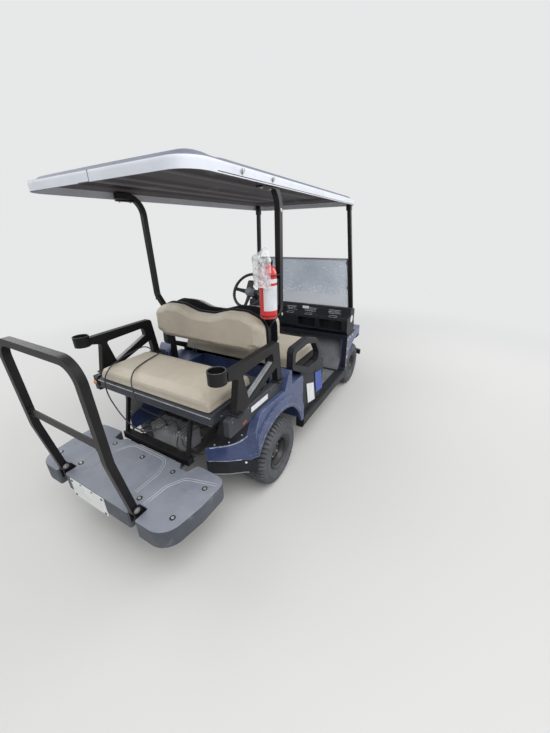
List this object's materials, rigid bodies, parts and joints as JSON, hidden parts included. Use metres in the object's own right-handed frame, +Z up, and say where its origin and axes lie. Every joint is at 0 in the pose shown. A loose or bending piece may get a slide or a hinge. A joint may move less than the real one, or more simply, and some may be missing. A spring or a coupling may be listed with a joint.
{
  "type": "golf cart",
  "caption": "Golf cart with roof, front bench, rear-facing bench, folding grab bar, moulded footboard and steered front wheels.",
  "frame": {"origin": "floor level, at the middle of the cart's length and width, without its cord", "axes": "+X to the front of the cart, +Y to its left, +Z up"},
  "size_m": [3.0673, 1.212, 1.8799],
  "materials": {
    "navy_moulding": "glossy dark blue body moulding, dusty",
    "black_steel": "black powder coat, worn",
    "frame_steel": "black frame paint under road dirt",
    "spring_steel": "dull dark steel",
    "cast_metal": "bare casting",
    "motor_case": "satin black enamel",
    "zinc_steel": "zinc plated",
    "wheel_paint": "dark grey wheel paint",
    "tyre_rubber": "dusty tread rubber",
    "black_plastic": "textured black plastic",
    "grey_plastic": "charcoal grey moulded plastic",
    "deck_plastic": "grained dark grey footboard",
    "tan_vinyl": "tan marine vinyl, dirty",
    "mat_rubber": "ribbed floor mat",
    "roof_plastic": "silver grey roof moulding",
    "clear_pane": "clear acrylic, scuffed",
    "lamp_lens": "clear lens",
    "red_paint": "gloss red cylinder",
    "cord_jacket": "black cord jacket",
    "charger_case": "finned aluminium case",
    "battery_case": "battery cases"
  },
  "bodies": {
    "chassis": {"chassis_frame": "frame_steel", "leaf_springs": "spring_steel", "rear_axle": "cast_metal", "drive_motor": "motor_case", "front_axle": "frame_steel", "floor_pan": "black_plastic", "floor_mat": "mat_rubber", "sills": "black_plastic", "battery_pack": "battery_case", "seat_pod": "black_plastic", "rear_body": "navy_moulding", "splash_guards": "black_plastic", "hip_restraints": "black_plastic", "seat_back_frame": "black_steel", "rear_seat_frame": "grey_plastic", "seat_stays": "black_steel", "armrests": "black_steel", "seat_side_panels": "grey_plastic", "deck_frame": "black_steel", "footboard_deck": "deck_plastic", "front_cowl": "navy_moulding", "front_bumper": "black_plastic", "headlamps": "lamp_lens", "steering_column": "black_plastic", "pedals": "zinc_steel", "roof": "roof_plastic", "roof_struts": "black_steel", "windshield": "clear_pane", "pane_clips": "black_plastic", "fire_extinguisher": "red_paint", "bottle_bracket": "black_steel", "charging_cord": "cord_jacket", "charger": "charger_case", "rear_cushion": "tan_vinyl", "rear_back_cushion": "tan_vinyl", "rear_back_shell": "black_plastic", "front_back_shell": "black_plastic", "front_back_cushion": "tan_vinyl", "dashboard": "black_plastic"},
    "knuckle_left": {"knuckle_left": "cast_metal"},
    "knuckle_right": {"knuckle_right": "cast_metal"},
    "tie_rod": {"tie_rod": "zinc_steel"},
    "steering_wheel": {"steering_wheel": "black_plastic"},
    "seat_lid": {"seat_lid": "black_plastic", "front_cushion": "tan_vinyl"},
    "grab_bar": {"grab_bar": "black_steel"},
    "wheel_front_left": {"tyre_front_left": "tyre_rubber", "rim_front_left": "wheel_paint"},
    "wheel_front_right": {"tyre_front_right": "tyre_rubber", "rim_front_right": "wheel_paint"},
    "wheel_rear_left": {"tyre_rear_left": "tyre_rubber", "rim_rear_left": "wheel_paint"},
    "wheel_rear_right": {"tyre_rear_right": "tyre_rubber", "rim_rear_right": "wheel_paint"}
  },
  "joints": [
    {"name": "steering", "type": "hinge", "parent": "chassis", "child": "steering_wheel", "pos_m": [0.3885, 0.27, 1.095], "axis": [-0.829, 0, 0.5592], "range_deg": [-360, 360]},
    {"name": "knuckle_left_pivot", "type": "hinge", "parent": "chassis", "child": "knuckle_left", "pos_m": [1.1235, 0.35, 0.2286], "axis": [0, 0, 1], "range_deg": [-30, 30]},
    {"name": "knuckle_right_pivot", "type": "hinge", "parent": "chassis", "child": "knuckle_right", "pos_m": [1.1235, -0.35, 0.2286], "axis": [0, 0, 1], "range_deg": [-30, 30]},
    {"name": "tie_rod_pivot", "type": "hinge", "parent": "knuckle_left", "child": "tie_rod", "pos_m": [1.0135, 0.35, 0.2076], "axis": [0, 0, 1], "range_deg": [-30, 30]},
    {"name": "seat_lid_hinge", "type": "hinge", "parent": "chassis", "child": "seat_lid", "pos_m": [-0.2585, 0, 0.696], "axis": [0, -1, 0], "range_deg": [0, 50]},
    {"name": "grab_bar_fold", "type": "hinge", "parent": "chassis", "child": "grab_bar", "pos_m": [-1.4615, 0, 0.433], "axis": [0, -1, 0], "range_deg": [0, 90]},
    {"name": "wheel_front_left_spin", "type": "hinge", "parent": "knuckle_left", "child": "wheel_front_left", "pos_m": [1.1235, 0.467, 0.2286], "axis": [0, 1, 0], "continuous": true},
    {"name": "wheel_front_right_spin", "type": "hinge", "parent": "knuckle_right", "child": "wheel_front_right", "pos_m": [1.1235, -0.467, 0.2286], "axis": [0, 1, 0], "continuous": true},
    {"name": "wheel_rear_left_spin", "type": "hinge", "parent": "chassis", "child": "wheel_rear_left", "pos_m": [-0.5765, 0.495, 0.2286], "axis": [0, 1, 0], "continuous": true},
    {"name": "wheel_rear_right_spin", "type": "hinge", "parent": "chassis", "child": "wheel_rear_right", "pos_m": [-0.5765, -0.495, 0.2286], "axis": [0, 1, 0], "continuous": true}
  ],
  "couplings": [
    {"joint": "knuckle_left_pivot", "follows": "steering", "ratio": 0.083333},
    {"joint": "knuckle_right_pivot", "follows": "steering", "ratio": 0.083333},
    {"joint": "tie_rod_pivot", "follows": "steering", "ratio": -0.083333}
  ]
}
